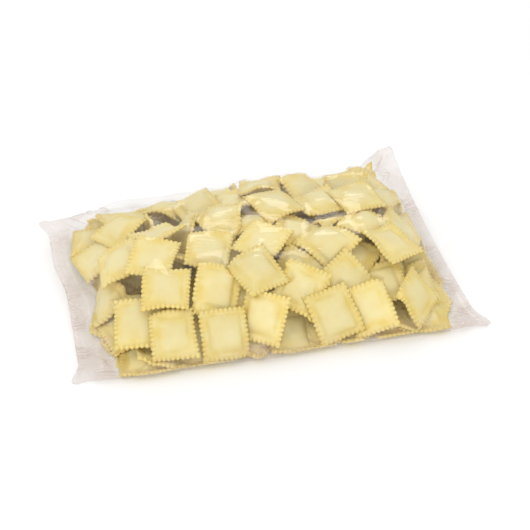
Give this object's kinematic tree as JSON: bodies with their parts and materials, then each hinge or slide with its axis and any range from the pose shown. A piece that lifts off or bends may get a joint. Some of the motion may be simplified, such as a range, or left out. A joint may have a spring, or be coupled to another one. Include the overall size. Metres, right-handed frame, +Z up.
{
  "type": "bag of ravioli",
  "caption": "Clear sealed pillow bag lying flat and full of square fresh ravioli with zigzag edges, with a flat seal at each end.",
  "frame": {"origin": "middle of the bag's bounding box, on the surface that it lies on", "axes": "+X along the bag from the left end seal to the right one, +Y from the front fold to the back fold, +Z up out of the surface"},
  "size_m": [0.345, 0.2244, 0.0628],
  "materials": {
    "clear_film": "clear thin film, soft gloss, over pale yellow pasta"
  },
  "bodies": {
    "root": {"sealed_bag": "clear_film"}
  },
  "joints": []
}
